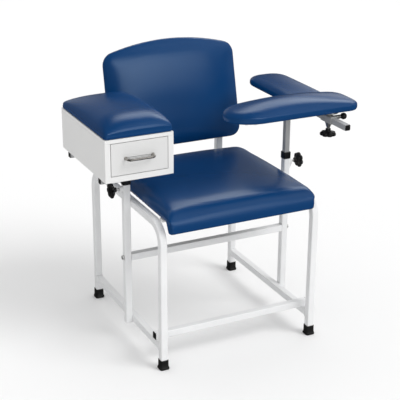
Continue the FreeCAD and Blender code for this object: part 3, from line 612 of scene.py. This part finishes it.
# ------------------------------------------------------------ small hardware
def star_knob(name, base, zdir, xhint, body, replaced):
    """Seven-lobed moulded knob: hub, flared underside, rounded lobes, domed cap."""
    R = 28.0
    prof = [(0.0, 8.0, 0), (0.4, 8.8, 0), (5.0, 9.0, 0), (8.5, 9.6, 0), (10.0, 12.0, 0.15), (11.0, 17.0, 0.5), (11.6, 21.5, 0.85), (12.6, 25.0, 1.0),
            (14.2, 27.2, 1.0), (16.5, 28.0, 1.0), (20.5, 28.0, 1.0), (22.6, 27.3, 1.0), (24.0, 25.4, 1.0), (24.8, 22.6, 0.9), (25.0, 19.6, 0.7), (24.7, 17.6, 0.5),
            (24.8, 15.6, 0.3), (25.6, 13.6, 0.1), (26.6, 11.4, 0), (27.6, 8.6, 0), (28.4, 5.2, 0), (28.8, 2.0, 0)]
    n = 140
    B = basis(zdir, xhint)
    rings = []
    for z, r, k in prof:
        ring = []
        for i in range(n):
            a = 2 * math.pi * i / n
            c = abs(math.cos(3.5 * a)) ** 0.55
            rr = r * (1 - k * 0.27 * (1 - c))
            ring.append(base + B @ Vector((rr * math.cos(a), rr * math.sin(a), z)) * 0.001)
        rings.append(ring)
    v, f = rings_mesh(rings)
    ob = mesh_object(name, v, f, "black_plastic", angle=60)
    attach(ob, body)
    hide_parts(replaced)
    return ob


PXm, PYm, CZ = 317.5, -56.5, 585.0
star_knob("left_knob_moulded", L(-(330 + 24), PYm, CZ), (-1, 0, 0), (0, 0, 1), "left_clamp_knob", "left_star_knob")
star_knob("right_knob_moulded", L(330 + 24, PYm, CZ), (1, 0, 0), (0, 0, 1), "right_clamp_knob", "right_star_knob")
star_knob("sleeve_knob_moulded", L(317.5, -330, 829 - 12.5 - 23), (0, 0, -1), (1, 0, 0), "sleeve_clamp_knob", "sleeve_star_knob")


def square_ring(c, half, r, z, n=6):
    pts = []
    for cx, cy, a0 in ((1, 1, 0), (-1, 1, 90), (-1, -1, 180), (1, -1, 270)):
        for i in range(n + 1):
            a = math.radians(a0 + 90.0 * i / n)
            pts.append(L(c[0] + cx * (half - r) + r * math.cos(a), c[1] + cy * (half - r) + r * math.sin(a), z))
    return pts


verts, faces = [], []
for fxp in (-292.5, 292.5):
    for fyp in (-305.5, 305.5):
        # outer skin from the floor up, over the lip and down inside the tube socket
        prof = [(15.2, 5.0, 0.0), (17.2, 8.0, 0.4), (18.0, 9.0, 1.6), (18.0, 9.0, 4.6), (17.7, 8.7, 6.2), (16.6, 7.6, 7.8), (15.6, 6.4, 9.6), (15.3, 6.0, 11.2),
                (15.25, 6.0, 15.0), (15.0, 5.8, 15.6), (15.0, 5.8, 16.4), (15.2, 5.9, 17.0), (15.1, 5.9, 21.0), (14.85, 5.7, 21.6), (14.85, 5.7, 22.4), (15.05, 5.8, 23.0),
                (14.95, 5.6, 30.0), (14.9, 5.4, 34.2), (14.6, 5.0, 35.4), (14.0, 4.6, 36.0), (13.2, 4.2, 36.0), (12.75, 3.7, 35.5), (12.7, 3.6, 30.0)]
        rings = [square_ring((fxp, fyp), h, r, z) for h, r, z in prof]
        v, f = rings_mesh(rings, True, False, len(verts))
        verts += v
        faces += f
feet = mesh_object("feet_moulded", verts, faces, "foot_rubber", angle=50)
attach(feet, "frame")
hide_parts("rubber_feet")



# ------------------------------------------------------- welds and staples
def bead_lines(name, lines, radius, body, slot):
    """Uneven weld beads along lines of layout points; a line is (points, closed)."""
    verts, faces = [], []
    for points, closed in lines:
        pts = [Vector(q) for q in points] + ([Vector(points[0])] if closed else [])
        run = []
        for a, b in zip(pts, pts[1:]):
            n = max(2, int((b - a).length / 1.6))
            run += [a.lerp(b, i / n) for i in range(n)]
        if not closed:
            run.append(pts[-1])
        m, base = len(run), len(verts)
        for i, c in enumerate(run):
            t = (run[(i + 1) % m] - run[i - 1]) if closed or 0 < i < m - 1 else (run[min(i + 1, m - 1)] - run[max(i - 1, 0)])
            B = basis(t, (0.31, 0.52, 0.79))
            k = radius * (0.92 + 0.10 * math.sin(i * 2.1) + 0.06 * math.sin(i * 0.77 + 1.0))
            if not closed and i in (0, m - 1):
                k *= 0.45
            for j in range(7):
                a = 2 * math.pi * j / 7
                verts.append(L(*(c + B @ Vector((k * math.cos(a), k * math.sin(a), 0)))))
        for i in range(m if closed else m - 1):
            for j in range(7):
                q, r_ = (j + 1) % 7, (i + 1) % m
                faces.append((base + i * 7 + j, base + i * 7 + q, base + r_ * 7 + q, base + r_ * 7 + j))
        if not closed:
            faces.append(tuple(base + j for j in reversed(range(7))))
            faces.append(tuple(base + (m - 1) * 7 + j for j in range(7)))
    ob = mesh_object(name, verts, faces, slot, angle=80)
    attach(ob, body)
    return ob


def square(axis, at, c1, c2, half=12.5):
    """Corners of a square tube's outline in the plane where axis has the value at."""
    out = []
    for a, b in ((-1, -1), (1, -1), (1, 1), (-1, 1)):
        p1, p2 = c1 + a * half, c2 + b * half
        out.append({"x": (at, p1, p2), "y": (p1, at, p2), "z": (p1, p2, at)}[axis])
    return out, True


lines = []
for sx in (-1, 1):
    for sy in (-1, 1):
        lines.append(square("y", sy * 293.0, sx * 292.5, 82.0))
    lines.append(square("x", sx * 280.0, 249.0, 528.5))
    for y in (-271.0, -246.0):
        lines.append(([(sx * 302.5, y, 94.7), (sx * 281.0, y, 94.7)], False))
    for y in (-69.0, -44.0):
        lines.append(([(sx * 305.2, y, 71.5), (sx * 305.2, y, 92.5)], False))
        lines.append(([(sx * 305.2, y, 518.5), (sx * 305.2, y, 538.5)], False))
    for y0, y1 in ((-285.0, -255.0), (120.0, 150.0)):
        lines.append(([(sx * 279.8, y0 + 1, 536.8), (sx * 279.8, y1 - 1, 536.8)], False))
    ring = [(sx * 330.1, -56.5 + 8.2 * math.cos(2 * math.pi * i / 24), 585.0 + 8.2 * math.sin(2 * math.pi * i / 24)) for i in range(24)]
    lines.append((ring, True))
    lines.append(square("z", 541.2, 4.0 + sx * 192.0, 249.0))
bead_lines("frame_welds", lines, 1.9, "frame", "white_frame")
bead_lines("left_arm_welds", [square("z", 655.0, -317.5, -56.5, 10.0), square("y", -144.0, -317.5, 665.0, 9.9), square("y", 126.0, -317.5, 665.0, 9.9)], 1.4, "left_arm", "slide_steel")
bead_lines("right_arm_welds", [square("z", 819.0, 317.5, -56.5, 10.0)], 1.5, "right_arm", "slide_steel")


def staples(name, line, z, to_world, body, spacing, covered):
    """Upholstery staples round an underside; line is the closed row they sit on, z their height off it."""
    step = even([tuple(q) for q in line], spacing)
    t = np.roll(step, -1, 0) - np.roll(step, 1, 0)
    t /= np.linalg.norm(t, axis=1)[:, None]
    verts, faces = [], []
    for c, d in zip(step, t):
        if covered(c[0], c[1]):
            continue
        n = np.array([-d[1], d[0]])
        base = len(verts)
        for h in (0.0, -0.55):
            for a, b in ((-5.0, -0.5), (5.0, -0.5), (5.0, 0.5), (-5.0, 0.5)):
                q = c + d * a + n * b
                verts.append(to_world((q[0], q[1], z + h)))
        faces += [tuple(base + i for i in f) for f in ((0, 1, 2, 3), (7, 6, 5, 4), (0, 4, 5, 1), (1, 5, 6, 2), (2, 6, 7, 3), (3, 7, 4, 0))]
    ob = mesh_object(name, verts, faces, "zinc_hardware", smooth=False)
    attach(ob, body)


staples("seat_staples", round_outline(-273.5, 273.5, -289.0, 221.5, (22, 22, 71, 71)), 543.35, flat_world, "frame", 26.0,
        lambda x, y: -294 < y < -246 or 111 < y < 159)
staples("rear_pad_staples", round_outline(262, 397, -179, 147, (50, 50, 54, 54)), 838.9, flat_world, "right_arm", 30.0, lambda x, y: abs(x - 317.5) < 19)
staples("front_pad_staples", round_outline(-41, 411, -359.5, -219, (69, 30, 54, 69)), 854.9, flat_world, "front_pad", 30.0, lambda x, y: math.hypot(x - 317.5, y + 330.0) < 40)
back_row = back_line()
staples("back_staples", back_row - outward(back_row) * 16.0, -BT - 0.05, back_world, "frame", 28.0, lambda x, y: y < 60 and abs(abs(x) - 192) < 20)

# carried-over nodes with rounded edges
for name, w in (("box_side_panels", 0.0009), ("box_top_panel", 0.0009), ("box_base_panel", 0.0009), ("box_rear_panel", 0.0008), ("drawer_front", 0.0011), ("drawer_tray", 0.0008),
                ("post_collars", 0.0011), ("cross_tube_plugs", 0.0007), ("arm_tube_plugs", 0.0008), ("crossbar_plugs", 0.0008), ("upright_caps", 0.0008),
                ("post_bolts", 0.0004), ("post_clamp_nuts", 0.0006), ("swing_flange", 0.0006), ("seat_straps", 0.0006), ("sleeve_bosses", 0.0006)):
    soften(name, w)


# --------------------------------------------------------------- stage, view
me = bpy.data.meshes.new("floor")
me.from_pydata([(-30, -30, 0), (30, -30, 0), (30, 30, 0), (-30, 30, 0)], [], [(0, 1, 2, 3)])
floor = bpy.data.objects.new("floor", me)
sc.collection.objects.link(floor)
fm, nt, p = new_mat("floor_pale")
nt.links.new(ramp(nt, noise(nt, 0.6, 2.0), (0.90, 0.90, 0.90), (0.91, 0.91, 0.91)), p.inputs["Base Color"])
p.inputs["Roughness"].default_value = 0.9
p.inputs["Specular IOR Level"].default_value = 0.1
me.materials.append(fm)
floor.visible_glossy = False

# The studio: an even white surround for what is seen and for diffuse light; in
# reflections a softbox in front, two high ones behind and a dim surround, as
# round soft patches at fixed directions.
w = bpy.data.worlds.new("studio")
sc.world = w
w.use_nodes = True
wt = w.node_tree
bg = wt.nodes["Background"]
tc = wt.nodes.new("ShaderNodeTexCoord")


def wmath(op, a, b):
    n = wt.nodes.new("ShaderNodeMath")
    n.operation = op
    for i, v in enumerate((a, b)):
        if isinstance(v, (int, float)):
            n.inputs[i].default_value = v
        else:
            wt.links.new(v, n.inputs[i])
    return n.outputs["Value"]


def wrange(value, f0, f1, t0, t1, smooth=False):
    n = wt.nodes.new("ShaderNodeMapRange")
    if smooth:
        n.interpolation_type = "SMOOTHSTEP"
    for k, v in (("From Min", f0), ("From Max", f1), ("To Min", t0), ("To Max", t1)):
        n.inputs[k].default_value = v
    wt.links.new(value, n.inputs["Value"])
    return n.outputs["Result"]


def patch(direction, inner, outer, level):
    """Round soft patch of light round a direction, full inside inner and gone at outer degrees."""
    d = wt.nodes.new("ShaderNodeVectorMath")
    d.operation = "DOT_PRODUCT"
    wt.links.new(tc.outputs["Generated"], d.inputs[0])
    d.inputs[1].default_value = Vector(direction).normalized()
    return wrange(d.outputs["Value"], math.cos(math.radians(outer)), math.cos(math.radians(inner)), 0.0, level, True)


sep = wt.nodes.new("ShaderNodeSeparateXYZ")
wt.links.new(tc.outputs["Generated"], sep.inputs["Vector"])
seen_in_gloss = wrange(sep.outputs["Z"], -0.2, 0.2, 0.04, 0.07, True)
for direction, inner, outer, level in (((0.20, -0.92, 0.34), 2, 21, 2.9), ((0.62, 0.36, 0.69), 2, 17, 3.7), ((0.36, 0.62, 0.69), 2, 17, 2.4), ((0.69, 0.69, 0.21), 2, 17, 0.8),
                                       ((0.57, -0.36, 0.73), 0, 34, 0.57), ((0.62, 0.62, 0.47), 2, 17, 0.4), ((-0.31, -0.87, -0.38), 0, 34, 0.3), ((0.92, -0.20, 0.35), 0, 34, 0.3),
                                       ((0.09, 0.97, 0.21), 2, 17, 0.3), ((0.41, -0.82, 0.39), 2, 17, 0.4), ((-0.05, 1.0, 0.06), 0, 34, 0.2)):
    seen_in_gloss = wmath("ADD", seen_in_gloss, patch(direction, inner, outer, level))
surround = wrange(sep.outputs["X"], -1.0, 1.0, 0.72, 0.98)
lp = wt.nodes.new("ShaderNodeLightPath")
is_cam, is_gloss = lp.outputs["Is Camera Ray"], lp.outputs["Is Glossy Ray"]
rest_of = wmath("SUBTRACT", wmath("SUBTRACT", 1.0, is_cam), is_gloss)
total = wmath("ADD", wmath("MULTIPLY", is_cam, 1.0), wmath("ADD", wmath("MULTIPLY", is_gloss, seen_in_gloss), wmath("MULTIPLY", rest_of, surround)))
wt.links.new(total, bg.inputs["Strength"])
bg.inputs["Color"].default_value = (1, 1, 1, 1)


def sun(name, direction, strength, angle):
    """Broad soft source a long way off; direction points from the chair to it."""
    ld = bpy.data.lights.new(name, "SUN")
    ld.energy = strength
    ld.angle = math.radians(angle)
    ob = bpy.data.objects.new(name, ld)
    sc.collection.objects.link(ob)
    ob.rotation_euler = Vector(direction).to_track_quat("Z", "Y").to_euler()
    return ob


sun("key", (0.45, -0.55, 0.70), 1.25, 30).visible_glossy = False

sc.view_settings.view_transform = "Standard"
sc.view_settings.look = "None"

az, el, roll = math.radians(-26.285), math.radians(21.681), math.radians(0.353)
C = L(-1646.1, -3323.9, 1940.9)
r = Vector((0.89660, -0.44284, 0.0))
wv = Vector((0.41151, 0.83318, -0.36943))
r.normalize()
wv.normalize()
u = r.cross(wv)
r2 = math.cos(roll) * r + math.sin(roll) * u
u2 = -math.sin(roll) * r + math.cos(roll) * u
cam = bpy.data.objects.new("camera", bpy.data.cameras.new("camera"))
sc.collection.objects.link(cam)
M = Matrix((r2, u2, -wv)).transposed().to_4x4()
M.translation = C
cam.matrix_world = M
cam.data.sensor_fit = "HORIZONTAL"
cam.data.sensor_width = 36.0
cam.data.lens = 36.0 * 1094.967 / 400.0
cam.data.clip_end = 200.0
sc.camera = cam
